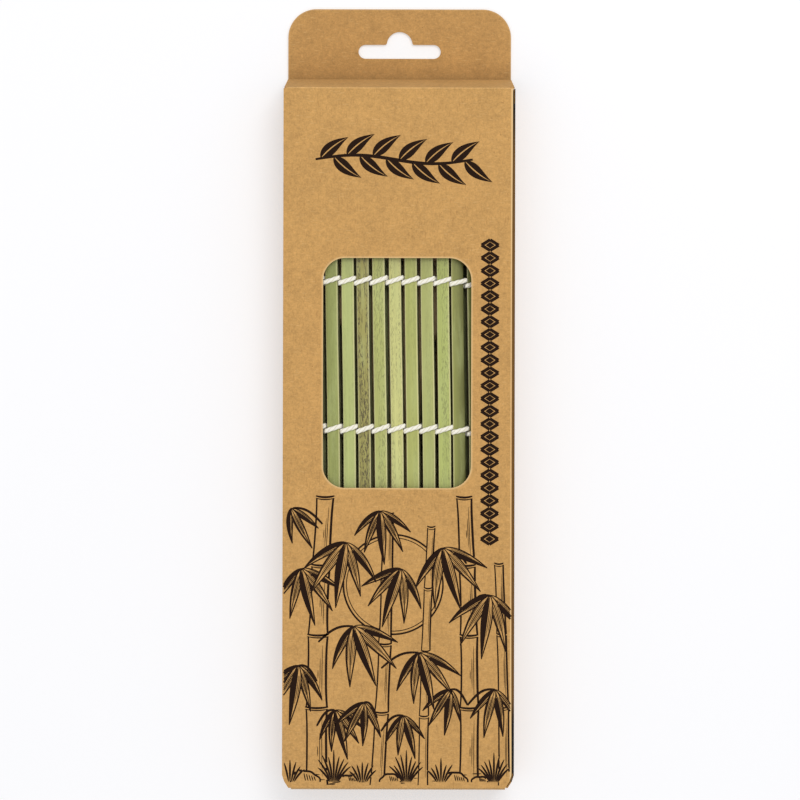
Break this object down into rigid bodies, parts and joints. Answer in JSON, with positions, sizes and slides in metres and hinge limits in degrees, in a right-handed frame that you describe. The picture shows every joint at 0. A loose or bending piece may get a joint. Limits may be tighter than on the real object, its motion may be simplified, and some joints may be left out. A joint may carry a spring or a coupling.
{
  "type": "boxed sushi rolling mat",
  "caption": "Kraft hang-tab carton with a window and tuck flaps that open, holding a flat-slat bamboo sushi mat rolled flat round a spatula.",
  "frame": {"origin": "middle of the whole outline, on the surface that the back panel rests on", "axes": "+X across the carton, +Y towards the hang tab, +Z out of the front panel"},
  "size_m": [0.0884, 0.301, 0.022],
  "materials": {
    "kraft_board": "matt kraft board",
    "green_bamboo": "satin bamboo skin",
    "pale_bamboo": "sanded bamboo",
    "cotton_string": "twisted yarn"
  },
  "bodies": {
    "carton": {"back_panel": "kraft_board", "hang_tab_ply": "kraft_board", "left_side": "kraft_board", "right_side": "kraft_board", "glue_flap": "kraft_board", "front_panel": "kraft_board"},
    "top_flap_body": {"top_flap": "kraft_board"},
    "top_dust_left_body": {"top_dust_flap_left": "kraft_board"},
    "top_dust_right_body": {"top_dust_flap_right": "kraft_board"},
    "bottom_flap_body": {"bottom_flap": "kraft_board"},
    "bottom_dust_left_body": {"bottom_dust_flap_left": "kraft_board"},
    "bottom_dust_right_body": {"bottom_dust_flap_right": "kraft_board"},
    "mat": {"slat_01": "green_bamboo", "slat_02": "green_bamboo", "slat_03": "green_bamboo", "slat_04": "green_bamboo", "slat_05": "green_bamboo", "slat_06": "green_bamboo", "slat_07": "green_bamboo", "slat_08": "green_bamboo", "slat_09": "green_bamboo", "slat_10": "green_bamboo", "slat_11": "green_bamboo", "slat_12": "green_bamboo", "slat_13": "green_bamboo", "slat_14": "green_bamboo", "slat_15": "green_bamboo", "slat_16": "green_bamboo", "slat_17": "green_bamboo", "slat_18": "green_bamboo", "slat_19": "green_bamboo", "slat_20": "green_bamboo", "slat_21": "green_bamboo", "slat_22": "green_bamboo", "slat_23": "green_bamboo", "slat_24": "green_bamboo", "slat_25": "green_bamboo", "slat_26": "green_bamboo", "slat_27": "green_bamboo", "slat_28": "green_bamboo", "slat_29": "green_bamboo", "slat_30": "green_bamboo", "slat_31": "green_bamboo", "slat_32": "green_bamboo", "slat_33": "green_bamboo", "slat_34": "green_bamboo", "slat_35": "green_bamboo", "slat_36": "green_bamboo", "slat_37": "green_bamboo", "slat_38": "green_bamboo", "string_row_1": "cotton_string", "string_row_2": "cotton_string", "string_row_3": "cotton_string", "string_row_4": "cotton_string", "string_row_5": "cotton_string", "spatula": "pale_bamboo"}
  },
  "joints": [
    {"name": "top_flap_crease", "type": "hinge", "parent": "carton", "child": "top_flap_body", "pos_m": [0, 0.1177, 0.022], "axis": [1, 0, 0], "range_deg": [0, 180]},
    {"name": "top_dust_left_crease", "type": "hinge", "parent": "carton", "child": "top_dust_left_body", "pos_m": [-0.04425, 0.1173, 0.011], "axis": [0, 0, 1], "range_deg": [0, 64]},
    {"name": "top_dust_right_crease", "type": "hinge", "parent": "carton", "child": "top_dust_right_body", "pos_m": [0.04425, 0.1173, 0.011], "axis": [0, 0, -1], "range_deg": [0, 64]},
    {"name": "bottom_flap_crease", "type": "hinge", "parent": "carton", "child": "bottom_flap_body", "pos_m": [0, -0.1505, 0], "axis": [1, 0, 0], "range_deg": [0, 90]},
    {"name": "bottom_dust_left_crease", "type": "hinge", "parent": "carton", "child": "bottom_dust_left_body", "pos_m": [-0.04185, -0.1497, 0.011], "axis": [0, 0, -1], "range_deg": [0, 32]},
    {"name": "bottom_dust_right_crease", "type": "hinge", "parent": "carton", "child": "bottom_dust_right_body", "pos_m": [0.04185, -0.1497, 0.011], "axis": [0, 0, 1], "range_deg": [0, 32]},
    {"name": "mat_play", "type": "slide", "parent": "carton", "child": "mat", "axis": [0, 1, 0], "range_m": [-0.0045, 0.002]}
  ],
  "couplings": [
    {"joint": "top_dust_left_crease", "follows": "top_flap_crease", "ratio": 0.35},
    {"joint": "top_dust_right_crease", "follows": "top_flap_crease", "ratio": 0.35},
    {"joint": "bottom_dust_left_crease", "follows": "bottom_flap_crease", "ratio": 0.35},
    {"joint": "bottom_dust_right_crease", "follows": "bottom_flap_crease", "ratio": 0.35}
  ]
}
